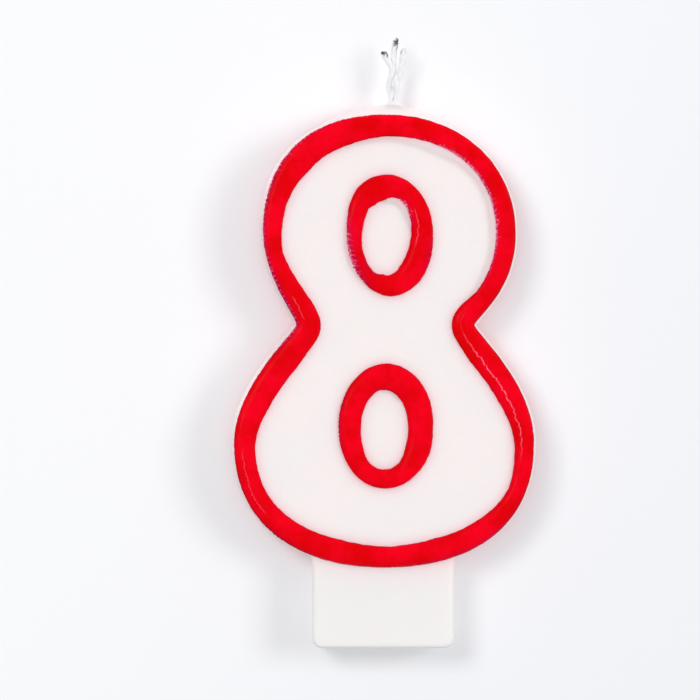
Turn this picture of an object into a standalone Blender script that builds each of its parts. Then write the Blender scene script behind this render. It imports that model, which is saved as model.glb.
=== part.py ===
"""Number candle in the shape of an 8, standing upright on its foot.

Frame: metres, +Z up along the number's height, the front face towards -Y.
The origin is the centre of the foot's flat underside.

A white wax casting carries raised ridges on its front and back faces. A thin
skin of red wax covers each ridge, and a braided wick of three cotton strands
runs down a bore through the middle of the casting.
"""

import math
from collections import namedtuple
from functools import partial

import bmesh
import bpy
from mathutils import Matrix, Vector
from mathutils.geometry import interpolate_bezier

MM = 0.001

# Overall sizes
CANDLE_HEIGHT = 70.0 * MM  # wax only, without the wick
FACE_DEPTH = 4.0 * MM  # from the middle plane to the flat face, on each side
RIDGE_HEIGHT = 0.9 * MM  # white ridge above the face
DRAFT = 0.45 * MM  # how far the side wall leans out at the middle plane

# Red skin
COAT_THICKNESS = 0.20 * MM
COAT_GAP = 0.04 * MM
COAT_INSET = COAT_THICKNESS + COAT_GAP
COAT_LIFT = 0.06 * MM  # height of the skin's lower edges above the face

# The edge of the figure, in mm, clockwise from the top as seen from the front. Each
# anchor has a direction of travel in degrees and a handle length behind and ahead.
Anchor = namedtuple("Anchor", "x z heading behind ahead")
OUTLINE = (
    Anchor(0.3, 68.7, 0, 11.2, 9.6),  # top
    Anchor(17.0, 53.3, -90, 9.2, 7.4),  # upper lobe, right
    Anchor(11.7, 41.6, -90, 0.9, 0.9),  # waist, right
    Anchor(19.4, 26.4, -90, 7.7, 10.3),  # lower lobe, right
    Anchor(0.2, 10.5, 180, 11.8, 11.2),  # bottom
    Anchor(-19.2, 26.4, 90, 10.5, 7.4),  # lower lobe, left
    Anchor(-11.2, 41.6, 90, 0.8, 1.2),  # waist, left
    Anchor(-15.5, 54.0, 90, 6.3, 7.9),  # upper lobe, left
)
POINTS_PER_ARC = 10
# Width of the red skin in mm at equal steps along the edge, clockwise from the top
OUTLINE_WIDTHS = (2.9, 2.65, 2.65, 3.15, 2.55, 2.9, 2.7, 2.9, 2.7, 3.3, 2.3, 3.4)

# Rings round the two counters, in mm and degrees: centre, radii of the crest, lean, and
# the red skin's width at equal turns, clockwise from the top
Ring = namedtuple("Ring", "x z radius_x radius_z lean widths")
RINGS = {
    "upper": Ring(0.6, 53.1, 4.4, 6.35, -2.8, (3.0, 3.0, 2.8, 3.2, 2.8, 2.1, 2.0, 2.7)),
    "lower": Ring(0.2, 28.4, 4.55, 6.55, 0.0, (3.3, 3.4, 3.2, 3.3, 2.5, 2.8, 2.8, 3.0)),
}
RING_POINTS = 32
RIDGE_STEPS = 5  # faces across a ridge, and across the skin over it

# Foot that goes into the cake
FOOT_WIDTH = 18.3 * MM
FOOT_DEPTH = 7.4 * MM
FOOT_TOP = 14.0 * MM  # hidden inside the lower lobe
FOOT_CORNER = 1.3 * MM
FOOT_EDGE = 0.4 * MM

# Low mound of wax where the wick comes out
WICK_X = 1.1 * MM
MOUND_RADII = (6.5 * MM, 3.4 * MM, 3.2 * MM)

# Wick: three strands plaited in a bore
BORE_RADIUS = 1.25 * MM
BORE_BOTTOM = 8.0 * MM
STRAND_RADIUS = 0.35 * MM
STRAND_BOTTOM = 8.5 * MM
PLAIT_HALF_WIDTH = 0.65 * MM
PLAIT_HALF_DEPTH = 0.60 * MM
PLAIT_PITCH = 10.8 * MM
PLAIT_TOP = 74.2 * MM  # above this the strands come apart
STRAND_STEP = 1.08 * MM
WICK_LEAN = 0.13  # sideways drift of the free wick per unit of height
# Tip of each strand in mm: x, y, z
STRAND_TIPS = {
    "left": (0.1, -0.5, 76.8),
    "right": (2.7, -0.2, 77.6),
    "middle": (1.7, 0.4, 78.8),
}

FRONT, BACK = -1, 1

Station = namedtuple("Station", "point normal width")  # one step along a swept path

WAX_WHITE = (0.93, 0.88, 0.86, 1.0)
WAX_RED = (0.80, 0.004, 0.018, 1.0)
COTTON = (0.90, 0.90, 0.91, 1.0)


def clear_scene():
    for obj in list(bpy.data.objects):
        bpy.data.objects.remove(obj, do_unlink=True)


def make_material(name, color, roughness):
    material = bpy.data.materials.new(name)
    material.use_nodes = True
    shader = material.node_tree.nodes["Principled BSDF"]
    shader.inputs["Base Color"].default_value = color
    shader.inputs["Roughness"].default_value = roughness
    shader.inputs["Metallic"].default_value = 0.0
    return material


def add_object(name, bm, material, parent):
    """Turns a bmesh into a smooth-shaded object under parent."""
    bmesh.ops.recalc_face_normals(bm, faces=bm.faces)
    mesh = bpy.data.meshes.new(name)
    bm.to_mesh(mesh)
    bm.free()
    mesh.shade_smooth()
    mesh.set_sharp_from_angle(angle=math.radians(35))
    obj = bpy.data.objects.new(name, mesh)
    bpy.context.scene.collection.objects.link(obj)
    obj.data.materials.append(material)
    obj.parent = parent
    return obj


def heading_vector(degrees):
    return Vector((math.cos(math.radians(degrees)), math.sin(math.radians(degrees))))


def outline_stations():
    """The closed outline, with the normals and the skin's width along it."""
    path = []
    for index, start in enumerate(OUTLINE):
        end = OUTLINE[(index + 1) % len(OUTLINE)]
        first = Vector((start.x, start.z))
        last = Vector((end.x, end.z))
        leaving = first + heading_vector(start.heading) * start.ahead
        arriving = last - heading_vector(end.heading) * end.behind
        arc = interpolate_bezier(first, leaving, arriving, last, POINTS_PER_ARC + 1)
        path += [Vector(point[:2]) * MM for point in arc[:-1]]
    reached = [0.0]
    for index, point in enumerate(path):
        reached.append(reached[-1] + (path[(index + 1) % len(path)] - point).length)
    shares = [length / reached[-1] for length in reached[:-1]]
    return make_stations(path, shares, OUTLINE_WIDTHS)


def ring_stations(ring):
    """A ring's crest about its own centre, before it leans, with normals and widths."""
    path = []
    shares = []
    for step in range(RING_POINTS):
        share = step / RING_POINTS
        turn = math.tau * share
        shares.append(share)
        path.append(Vector((ring.radius_x * math.sin(turn), ring.radius_z * math.cos(turn))) * MM)
    return make_stations(path, shares, ring.widths)


def make_stations(path, shares, widths):
    """Adds to each point of a clockwise loop the normal on its right and the width there."""
    stations = []
    for index, (point, share) in enumerate(zip(path, shares)):
        along = (path[(index + 1) % len(path)] - path[index - 1]).normalized()
        inward = Vector((along.y, -along.x))
        stations.append(Station(point, inward, read_around(widths, share) * MM))
    return stations


def read_around(values, share):
    """Reads a closed row of values at a share of the way round, easing between neighbours."""
    whole, part = divmod(share * len(values), 1.0)
    index = int(whole) % len(values)
    ease = smooth_step(part)
    return values[index] * (1 - ease) + values[(index + 1) % len(values)] * ease


def smooth_step(value):
    return value * value * (3 - 2 * value)


def arch(crest, half_width, height):
    """A ridge's profile as (offset inwards, depth) pairs, from its outer foot to its inner one."""
    points = []
    for step in range(RIDGE_STEPS + 1):
        turn = math.pi * step / RIDGE_STEPS
        offset = crest - half_width * math.cos(turn)
        points.append((offset, FACE_DEPTH + height * math.sin(turn)))
    return points


def ridge_profile(crest, width):
    return arch(crest, width / 2 - COAT_INSET, RIDGE_HEIGHT)


def edge_profile(width):
    """The casting's edge: the side wall from the middle plane, then the ridge."""
    return [(-DRAFT, 0.0), (0.0, FACE_DEPTH), *ridge_profile(width / 2, width)]


def coat_profile(crest, width):
    """The closed profile of the skin over a ridge: its outer arch, then its inner arch back."""
    outer = arch(crest, width / 2, RIDGE_HEIGHT + COAT_INSET)
    inner = arch(crest, width / 2 - COAT_THICKNESS, RIDGE_HEIGHT + COAT_GAP)
    lowest = FACE_DEPTH + COAT_LIFT
    return [(offset, max(depth, lowest)) for offset, depth in outer + inner[::-1]]


def sweep(bm, stations, profile_at, side, place):
    """Sweeps a profile, given by the width, round a closed path. Returns its loops."""
    profiles = [profile_at(station.width) for station in stations]
    loops = []
    for step in range(len(profiles[0])):
        loop = []
        for station, profile in zip(stations, profiles):
            offset, depth = profile[step]
            flat = station.point + station.normal * offset
            loop.append(bm.verts.new(place @ Vector((flat.x, side * depth, flat.y))))
        loops.append(loop)
    for first, second in zip(loops, loops[1:]):
        bridge(bm, first, second)
    return loops


def bridge(bm, first, second):
    """Joins two loops of the same length with quads."""
    count = len(first)
    for index in range(count):
        after = (index + 1) % count
        bm.faces.new((first[index], first[after], second[after], second[index]))


def loop_edges(bm, loop):
    return [bm.edges.get((loop[index - 1], vertex)) for index, vertex in enumerate(loop)]


def ring_placement(ring):
    shift = Matrix.Translation((ring.x * MM, 0, ring.z * MM))
    return shift @ Matrix.Rotation(math.radians(ring.lean), 4, "Y")


def build_front_half():
    """The casting's front half: side wall, outline ridge, flat face and ring ridges."""
    bm = bmesh.new()
    loops = sweep(bm, outline_stations(), edge_profile, FRONT, Matrix.Identity(4))
    face_edges = loop_edges(bm, loops[-1])
    for ring in RINGS.values():
        profile_at = partial(ridge_profile, 0.0)
        loops = sweep(bm, ring_stations(ring), profile_at, FRONT, ring_placement(ring))
        face_edges += loop_edges(bm, loops[0])
        bm.faces.new(loops[-1])
    bmesh.ops.triangle_fill(bm, use_beauty=True, edges=face_edges)
    return bm


def hide_helper(obj):
    obj.hide_render = True
    obj.display_type = "WIRE"


def add_boolean(obj, other, operation):
    modifier = obj.modifiers.new(other.name, "BOOLEAN")
    modifier.operation = operation
    modifier.solver = "EXACT"
    modifier.object = other


def build_foot_blank(material, parent):
    """The foot's block, with rounded corners below and its top inside the lower lobe."""
    bm = bmesh.new()
    bmesh.ops.create_cube(bm, size=1.0)
    bmesh.ops.scale(bm, vec=(FOOT_WIDTH, FOOT_DEPTH, FOOT_TOP), verts=bm.verts)
    bmesh.ops.translate(bm, vec=(0, 0, FOOT_TOP / 2), verts=bm.verts)
    corners = [
        edge
        for edge in bm.edges
        if all(vertex.co.z < FOOT_TOP / 2 for vertex in edge.verts)
        and abs(edge.verts[0].co.y - edge.verts[1].co.y) > FOOT_DEPTH / 2
    ]
    bmesh.ops.bevel(
        bm, geom=corners, offset=FOOT_CORNER, segments=4, profile=0.5, affect="EDGES"
    )
    rims = [
        edge
        for edge in bm.edges
        if abs(edge.verts[0].co.y - edge.verts[1].co.y) < FOOT_EDGE
        and min(vertex.co.z for vertex in edge.verts) < FOOT_TOP / 2
    ]
    bmesh.ops.bevel(
        bm, geom=rims, offset=FOOT_EDGE, segments=2, profile=0.5, affect="EDGES"
    )
    blank = add_object("foot_blank", bm, material, parent)
    hide_helper(blank)
    return blank


def build_mound_blank(material, parent):
    bm = bmesh.new()
    bmesh.ops.create_uvsphere(bm, u_segments=20, v_segments=12, radius=1.0)
    bmesh.ops.scale(bm, vec=MOUND_RADII, verts=bm.verts)
    blank = add_object("mound_blank", bm, material, parent)
    blank.location = (WICK_X, 0, CANDLE_HEIGHT - MOUND_RADII[2])
    hide_helper(blank)
    return blank


def build_bore_cutter(material, parent):
    length = CANDLE_HEIGHT + FOOT_TOP - BORE_BOTTOM
    bm = bmesh.new()
    bmesh.ops.create_cone(
        bm, cap_ends=True, segments=16, radius1=BORE_RADIUS, radius2=BORE_RADIUS, depth=length
    )
    cutter = add_object("bore_cutter", bm, material, parent)
    cutter.location = (WICK_X, 0, BORE_BOTTOM + length / 2)
    hide_helper(cutter)
    return cutter


def build_body(material, parent):
    """The white casting: both halves, the foot, the mound at the top and the wick's bore."""
    body = add_object("wax_body", build_front_half(), material, parent)
    mirror = body.modifiers.new("back_half", "MIRROR")
    mirror.use_axis = (False, True, False)
    mirror.merge_threshold = 0.00001
    add_boolean(body, build_foot_blank(material, parent), "UNION")
    add_boolean(body, build_mound_blank(material, parent), "UNION")
    add_boolean(body, build_bore_cutter(material, parent), "DIFFERENCE")
    return body


def build_coat(name, stations, profile_at, side, material, parent):
    """A closed skin over a ridge, on the front or the back."""
    bm = bmesh.new()
    loops = sweep(bm, stations, profile_at, side, Matrix.Identity(4))
    bridge(bm, loops[-1], loops[0])
    return add_object(name, bm, material, parent)


def build_coats(material, parent):
    for side, face in ((FRONT, "front"), (BACK, "back")):
        build_coat(
            f"{face}_outline_coat", outline_stations(), lambda width: coat_profile(width / 2, width),
            side, material, parent,
        )
        for which, ring in RINGS.items():
            coat = build_coat(
                f"{face}_{which}_ring_coat", ring_stations(ring), partial(coat_profile, 0.0),
                side, material, parent,
            )
            coat.matrix_basis = ring_placement(ring)


def plait_point(height, phase):
    """The centre of one strand of the plait at a height, with the free wick's lean."""
    turn = math.tau * height / PLAIT_PITCH + phase
    drift = WICK_LEAN * max(height - CANDLE_HEIGHT, 0.0)
    x = WICK_X + drift + PLAIT_HALF_WIDTH * math.sin(turn)
    return Vector((x, PLAIT_HALF_DEPTH * math.sin(2 * turn), height))


def strand_route(tip, phase):
    """A strand's centre line: the plait, then a smooth way out to its own tip."""
    count = round((PLAIT_TOP - STRAND_BOTTOM) / STRAND_STEP)
    route = []
    for step in range(count + 1):
        height = STRAND_BOTTOM + (PLAIT_TOP - STRAND_BOTTOM) * step / count
        route.append(plait_point(height, phase))
    end = Vector(tip) * MM
    leaving = (route[-1] - route[-2]).normalized()
    reach = (end - route[-1]).length / 3
    free = interpolate_bezier(
        route[-1], route[-1] + leaving * reach, end - Vector((0, 0, reach)), end, 6
    )
    return route + free[1:]


def build_wick(material, parent):
    for index, (which, tip) in enumerate(STRAND_TIPS.items()):
        curve = bpy.data.curves.new(f"wick_strand_{which}", "CURVE")
        curve.dimensions = "3D"
        curve.bevel_depth = STRAND_RADIUS
        curve.bevel_resolution = 1
        curve.use_fill_caps = True
        route = strand_route(tip, math.tau * index / len(STRAND_TIPS))
        spline = curve.splines.new("POLY")
        spline.points.add(len(route) - 1)
        for point, spot in zip(spline.points, route):
            point.co = (*spot, 1.0)
        strand = bpy.data.objects.new(curve.name, curve)
        bpy.context.scene.collection.objects.link(strand)
        curve.materials.append(material)
        strand.parent = parent


def main():
    clear_scene()
    candle = bpy.data.objects.new("number_candle", None)
    bpy.context.scene.collection.objects.link(candle)
    build_body(make_material("white_wax", WAX_WHITE, 0.45), candle)
    build_coats(make_material("red_wax", WAX_RED, 0.35), candle)
    build_wick(make_material("waxed_cotton", COTTON, 0.6), candle)


main()
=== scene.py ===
import math

import bmesh
import bpy
import numpy as np
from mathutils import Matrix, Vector, noise
from mathutils.geometry import delaunay_2d_cdt


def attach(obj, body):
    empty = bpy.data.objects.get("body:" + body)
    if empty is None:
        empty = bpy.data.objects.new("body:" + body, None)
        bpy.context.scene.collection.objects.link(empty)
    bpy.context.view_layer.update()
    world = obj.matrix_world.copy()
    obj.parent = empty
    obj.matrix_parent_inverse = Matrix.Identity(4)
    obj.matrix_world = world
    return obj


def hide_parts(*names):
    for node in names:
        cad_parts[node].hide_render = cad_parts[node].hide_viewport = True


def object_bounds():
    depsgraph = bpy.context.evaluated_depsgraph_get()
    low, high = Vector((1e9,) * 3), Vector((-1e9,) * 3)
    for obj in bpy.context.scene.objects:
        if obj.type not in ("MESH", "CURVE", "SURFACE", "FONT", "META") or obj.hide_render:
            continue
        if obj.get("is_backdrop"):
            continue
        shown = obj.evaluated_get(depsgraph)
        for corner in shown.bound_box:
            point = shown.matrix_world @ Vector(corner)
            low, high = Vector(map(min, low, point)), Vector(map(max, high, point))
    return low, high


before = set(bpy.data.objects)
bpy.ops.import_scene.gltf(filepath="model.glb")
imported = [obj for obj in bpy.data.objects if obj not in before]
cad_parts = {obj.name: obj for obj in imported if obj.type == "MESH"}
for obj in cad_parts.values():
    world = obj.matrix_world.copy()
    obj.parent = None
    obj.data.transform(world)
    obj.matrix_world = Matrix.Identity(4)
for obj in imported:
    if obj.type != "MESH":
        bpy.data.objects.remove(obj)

# Lengths below are in millimetres and turned into metres when a mesh is made. Lamps are placed,
# and noise in the materials is sized, in metres.
# The frame is the CAD's: +Z up the candle, the front towards -Y, the foot's underside at z = 0.
MM = 0.001
TAU = math.tau

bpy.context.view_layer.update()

# The casting
FACE_DEPTH = 4.0  # from the middle plane to the flat face
WALL_DEPTH = 3.7  # where the side wall ends and the ridge's shoulder begins
WALL_LEAN = 0.35  # how far the side wall stands out at the middle plane
RIDGE_HEIGHT = 0.80
RIDGE_INSET = 0.12  # from the ridge's foot to where its round begins, on each side
FACE_SINK = 0.09  # the cooled wax face is hollow by this much
FACE_SINK_REACH = 2.2  # over about this far from the ridges
WAVE = 0.010  # share by which the depth varies over the face
FLASH = 0.045  # raised line where the two mould halves met
FLASH_WIDTH = 0.22
REFERENCE_WIDTH = 2.75  # the ridge width that the section is drawn at

# The figure's edge, as in the CAD: x, z, heading in degrees, handle behind, handle ahead
OUTLINE = (
    (0.3, 68.7, 0, 11.2, 9.6),
    (17.0, 53.3, -90, 9.2, 7.4),
    (11.7, 41.6, -90, 0.9, 0.9),
    (19.4, 26.4, -90, 7.7, 10.3),
    (0.2, 10.5, 180, 11.8, 11.2),
    (-19.2, 26.4, 90, 10.5, 7.4),
    (-11.2, 41.6, 90, 0.8, 1.2),
    (-15.5, 54.0, 90, 6.3, 7.9),
)

# The rings' crests, as in the CAD: centre, radii, lean in degrees
RINGS = {
    "upper": (0.6, 53.1, 4.4, 6.35, -2.8),
    "lower": (0.2, 28.4, 4.55, 6.55, 0.0),
}

# How far the red reaches to the outer and the inner side of each path, at equal steps
# clockwise from the top. These are widths measured on the photo, rounded and then adjusted.
RED_OUTER = {
    "outline": (-0.05, 0.0, 0.12, 0.15, 0.0, 0.1, 0.06, 0.0, -0.1, -0.05, -0.08, -0.12),
    "upper": (1.52, 1.56, 1.58, 1.46, 1.5, 1.54, 1.46, 1.0, 0.92, 0.85, 1.0, 1.54),
    "lower": (1.7, 1.88, 1.86, 1.7, 1.78, 1.48, 1.24, 1.32, 1.3, 1.34, 1.36, 1.46),
}
RED_INNER = {
    "outline": (
        2.85, 2.7, 2.5, 2.45, 2.5, 2.4, 3.25, 3.1, 2.5, 2.15, 2.8, 2.95,
        2.6, 2.95, 2.9, 2.75, 2.75, 3.35, 3.5, 3.0, 2.25, 2.8, 3.65, 3.45,
    ),
    "upper": (
        1.7, 1.3, 0.98, 0.96, 1.12, 1.15, 1.36, 1.52, 1.64, 1.68, 1.66, 1.44,
        1.28, 1.22, 0.82, 0.86, 0.94, 0.95, 1.08, 1.2, 1.26, 1.22, 1.62, 1.74,
    ),
    "lower": (1.66, 1.56, 1.5, 1.52, 1.46, 1.12, 1.2, 1.08, 1.38, 1.54, 1.54, 1.6),
}

# Places on the loops: share of the way clockwise from the top, reach, strength.
# Where the white ridge is wider than the red, in mm of bare slope
BARE_OUTER = {
    "outline": (),
    "upper": ((0.71, 0.20, 0.45),),
    "lower": ((0.78, 0.2, 0.2),),
}
BARE_INNER = {
    "outline": ((0.02, 0.08, 0.5), (0.08, 0.09, 0.75), (0.17, 0.07, 0.65)),
    "upper": ((0.10, 0.17, 0.75),),
    "lower": ((0.05, 0.12, 0.25),),
}
# Where the red's edge is torn into fine teeth
TORN_OUTER = {
    "outline": ((0.90, 0.10, 1.0), (0.99, 0.04, 0.7), (0.49, 0.06, 0.8), (0.59, 0.05, 0.4)),
    "upper": ((0.70, 0.17, 1.0), (0.33, 0.08, 0.5)),
    "lower": ((0.76, 0.16, 0.5),),
}
TORN_INNER = {
    "outline": ((0.05, 0.05, 0.6), (0.11, 0.07, 1.0), (0.17, 0.05, 0.6)),
    "upper": ((0.12, 0.10, 1.0), (0.55, 0.06, 0.4)),
    "lower": ((0.45, 0.1, 0.2),),
}
# Where the red's outer edge is rubbed thin and purplish
RUBBED = {
    "outline": ((0.86, 0.14, 1.0), (0.79, 0.05, 0.8), (0.43, 0.07, 0.5), (0.6, 0.06, 0.3)),
    "upper": ((0.70, 0.18, 1.0), (0.33, 0.08, 0.4)),
    "lower": ((0.76, 0.16, 0.5),),
}
RUBBED_WIDTH = {"outline": 0.35, "upper": 0.70, "lower": 0.30}
# Where its inner edge is
RUBBED_INNER = {
    "outline": ((0.12, 0.11, 0.9),),
    "upper": ((0.14, 0.11, 0.9), (0.6, 0.08, 0.5)),
    "lower": (),
}
RUBBED_INNER_WIDTH = 0.40
# Hair-thin raised scrapes along the skins, painted pale as highlight streaks: share where each starts and
# ends, place across from 0 to 1, strength
SCRAPE_AND_HIGHLIGHT_LINES = {
    "outline": ((0.224, 0.352, 0.62, 1.0), (0.603, 0.670, 0.42, 0.35), (0.776, 0.798, 0.42, 0.4)),
    "upper": ((0.14, 0.31, 0.68, 0.5),),
    "lower": (),
}
RING_TO_EDGE = 0.2  # a ring's length as a share of the figure's edge, to keep marks one size

# The red skins
COAT_DEPTH = 0.140
COAT_SUNK = 0.05  # how far the underside lies inside the white ridge
COAT_LIFT = 0.004  # the least that the top stands over the ridge
COAT_EDGE_ROUND = 0.24
# How far in from each edge of a red skin the painted edge shade reaches
RIM_SHADE_WIDTH = 0.16
EDGE_WAVER = ((0.030, 60), (0.020, 150))  # how far each edge strays, cycles round the figure
EDGE_TEETH = (0.012, 0.085, 430)  # size where whole, what tearing adds, cycles

# Red bled into the white, with a painted glow of red light from the skins: how soon it fades over the face
# and down the side wall
BLUSH_AND_GLOW_REACH = 0.4
WALL_BLUSH_AND_GLOW_REACH = 1.2
# How wide the painted shade is in the crease below a bare ridge slope
CREASE_SHADE_WIDTH = 0.2

# Foot
FOOT_HALF_WIDTH = 9.15
FOOT_HALF_DEPTH = 3.7
FOOT_UPRIGHT_EDGE = 0.7
FOOT_CORNER = 1.3
FOOT_UNDER_EDGE = 0.6
FOOT_GROWS_BELOW = 20.0  # the height on the lower lobe below which the foot can start
FOOT_UNEVEN_BELOW = 9.9

# Wax drawn up round the wick
WICK_X = 1.1
MOUND = 0.95
MOUND_REACH_X = 9.0
MOUND_REACH_Y = 3.9
COLLAR = 0.20
COLLAR_REACH = 0.95
MOUND_BLEND = (60.0, 66.0)  # heights between which the mound sets in

# Wick
PLAIT_HALF_WIDTH = 0.65
PLAIT_HALF_DEPTH = 0.58
PLAIT_PITCH = 10.8
PLAIT_TOP = 74.2
PLAIT_NECK = 0.62  # share by which the plait is drawn in where it leaves the wax
PLAIT_NECK_REACH = 2.6
WICK_LEAN = 0.13
WAX_TOP = 70.0
STRAND_BOTTOM = 8.5
# Where each strand ends; the middle one ends highest
STRAND_TIPS = {
    "left": (0.1, -0.5, 77.2),
    "right": (2.7, -0.2, 77.5),
    "middle": (1.7, 0.4, 78.8),
}
# How dark each strand's end gets and over what length; it darkens towards the tip
DARK_TIPS = {"left": (1.0, 1.4), "right": (0.45, 1.0), "middle": (1.0, 1.9)}  # strength, length
PLY_RADIUS = 0.155
PLY_ORBIT = 0.20
PLIES = 6
PLY_SIDES = 10
PLY_PITCH = 3.4
STRAY_FIBRES = 22
FIBRE_RADIUS = 0.016
FIBRE_TOP = 78.7

# How finely the loops and the faces between them are divided
BODY_STATIONS = 800
COAT_STATIONS = 1430
RING_STATIONS = 150
RING_COAT_STATIONS = 420
TINT_STATIONS = 400
RING_TINT_STATIONS = 160
BODY_RIDGE_STEPS = 28
BODY_RING_STEPS = 24
WALL_STEPS = 25
COAT_STEPS = 34
FIELD_SPACING = 0.55

# Light: the room's and the backing's own as shares of full white, the lamps' in watts
ROOM_LIGHT = 0.61
BACK_SHARE = 0.6  # the soft boxes behind are this much as strong as those in front
HIGH_BOX_POWER = 2.0  # watts
LOW_BOX_POWER = 2.65  # watts
SIDE_BOX_POWER = 0.5  # watts
TOP_BOX_POWER = 1.6  # watts
GLINT_POWER = 3.0  # watts
STAGE_GLOW = 0.075
STAGE_MATTE = 0.88
STAGE_REACH = 0.9  # metres
STAGE_GAP = 0.0003  # metres

# Camera
VIEW_WIDTH = 89.905  # how much of the candle's front plane the picture shows
VIEW_CENTRE_X = -4.23
VIEW_CENTRE_Z = 38.40
LENS = 250
SENSOR_WIDTH = 36


# ------------------------ small tools


def smooth_step(low, high, value):
    share = np.clip((value - low) / (high - low), 0.0, 1.0)
    return share * share * (3 - 2 * share)


def wander(share, cycles, seed):
    """Smooth noise from about -1 to 1 that closes on itself round a loop."""
    draw = np.random.default_rng(seed)
    count = 14
    turns = draw.integers(max(1, int(cycles * 0.5)), int(cycles * 1.5) + 2, count)
    phases = draw.uniform(0, TAU, count)
    waves = np.sin(TAU * turns[:, None] * np.ravel(share)[None, :] + phases[:, None])
    return (waves.mean(0) * 2.0).reshape(np.shape(share))


def noise_at(points, size, seed):
    """Perlin noise at each point, with features of about the given size."""
    shift = Vector((17.3 * seed, -9.1 * seed, 5.7 * seed))
    flat = points.reshape(-1, 3) / size
    values = [noise.noise(Vector(point) + shift) for point in flat]
    return np.array(values).reshape(points.shape[:-1])


def read_around(values, share):
    """Reads a closed row of evenly spaced values at a share of the way round."""
    return np.interp(share, np.arange(len(values) + 1) / len(values), (*values, values[0]))


def places_on(share, places):
    """The sum of soft bumps on a loop, each given by its place, its reach and its strength."""
    total = np.zeros(np.shape(share))
    for centre, reach, strength in places:
        gap = np.abs((share - centre + 0.5) % 1.0 - 0.5)
        total += strength * (1 - smooth_step(0.2 * reach, reach, gap))
    return total


def loop_grid(rows, columns, first=0):
    """Quads between neighbouring rows of points, each row closing on itself."""
    row = np.arange(rows - 1)[:, None] * columns + first
    here = np.arange(columns)[None, :]
    after = (here + 1) % columns
    quads = np.stack([row + here, row + after, row + columns + after, row + columns + here], -1)
    return quads.reshape(-1, 4)


def add_piece(name, points, faces, material, attributes=None):
    """Makes a closed, smooth-shaded mesh object from points in mm and rides it on the candle."""
    mesh = bpy.data.meshes.new(name)
    mesh.from_pydata((np.asarray(points) * MM).tolist(), [], faces)
    for key, values in (attributes or {}).items():
        layer = mesh.attributes.new(key, "FLOAT", "POINT")
        layer.data.foreach_set("value", np.asarray(values, np.float32))
    bm = bmesh.new()
    bm.from_mesh(mesh)
    bmesh.ops.delete(bm, geom=[vert for vert in bm.verts if not vert.link_faces], context="VERTS")
    bmesh.ops.recalc_face_normals(bm, faces=bm.faces)
    bm.to_mesh(mesh)
    bm.free()
    mesh.shade_smooth()
    mesh.materials.append(material)
    piece = bpy.data.objects.new(name, mesh)
    bpy.context.scene.collection.objects.link(piece)
    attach(piece, "root")
    return piece


# ------------------------ paths


def equal_steps(points, count, guide):
    """Shares, points and inward normals at equal steps along a guide line beside the path."""
    along = np.roll(points, -1, 0) - np.roll(points, 1, 0)
    along /= np.linalg.norm(along, axis=1)[:, None]
    inward = np.stack([along[:, 1], -along[:, 0]], 1)
    middle = points + inward * guide
    reached = lengths_round(middle)
    own = lengths_round(points)
    steps = np.arange(count) / count * reached[-1]
    place = read_pairs(steps, reached, points)
    normal = read_pairs(steps, reached, inward)
    normal /= np.linalg.norm(normal, axis=1)[:, None]
    share = np.interp(steps, reached, own) / own[-1]
    return {"share": share, "point": place, "inward": normal}


def read_pairs(steps, reached, pairs):
    """Reads a closed row of pairs at steps along it, between the lengths reached at each."""
    columns = [np.append(column, column[0]) for column in pairs.T]
    return np.stack([np.interp(steps, reached, column) for column in columns], 1)


def lengths_round(points):
    """The length reached at each point of a closed row, and after the last step back."""
    steps = np.linalg.norm(np.roll(points, -1, 0) - points, axis=1)
    return np.concatenate([[0.0], np.cumsum(steps)])


def outline_path(count):
    """Stations along the figure's edge, with the ridge's and the red's reach at each."""
    arcs = []
    share = np.linspace(0, 1, 240, endpoint=False)[:, None]
    for index, (x, z, heading, _, ahead) in enumerate(OUTLINE):
        end_x, end_z, end_heading, behind, _ = OUTLINE[(index + 1) % len(OUTLINE)]
        start = np.array((x, z))
        end = np.array((end_x, end_z))
        leaving = start + heading_vector(heading) * ahead
        arriving = end - heading_vector(end_heading) * behind
        arcs.append(curve_points(start, leaving, arriving, end, share))
    path = equal_steps(np.concatenate(arcs), count, REFERENCE_WIDTH / 2)
    path["kind"] = "outline"
    path["red_inner"] = read_around(RED_INNER["outline"], path["share"])
    path["red_outer"] = read_around(RED_OUTER["outline"], path["share"])
    width = path["red_inner"] + places_on(path["share"], BARE_INNER["outline"])
    path["centre"] = path["half"] = width / 2
    return path


def curve_points(start, leaving, arriving, end, share):
    """Points on a Bezier curve at shares of the way along it."""
    rest = 1 - share
    return (
        rest**3 * start
        + 3 * rest**2 * share * leaving
        + 3 * rest * share**2 * arriving
        + share**3 * end
    )


def heading_vector(degrees):
    angle = math.radians(degrees)
    return np.array((math.cos(angle), math.sin(angle)))


def ring_path(which, count):
    """Stations along a ring's crest, with the ridge's and the red's reach at each."""
    x, z, radius_x, radius_z, lean = RINGS[which]
    turn = TAU * np.arange(1440) / 1440
    upright = np.stack([radius_x * np.sin(turn), radius_z * np.cos(turn)], 1)
    swing = math.radians(lean)
    cosine, sine = math.cos(swing), math.sin(swing)
    leaned = upright @ np.array([[cosine, -sine], [sine, cosine]]) + (x, z)
    path = equal_steps(leaned, count, 0.0)
    path["kind"] = which
    path["red_inner"] = read_around(RED_INNER[which], path["share"])
    path["red_outer"] = read_around(RED_OUTER[which], path["share"])
    inner = path["red_inner"] + places_on(path["share"], BARE_INNER[which])
    outer = path["red_outer"] + places_on(path["share"], BARE_OUTER[which])
    path["centre"] = (inner - outer) / 2
    path["half"] = (inner + outer) / 2
    return path


# ------------------------ ridge sections


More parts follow.
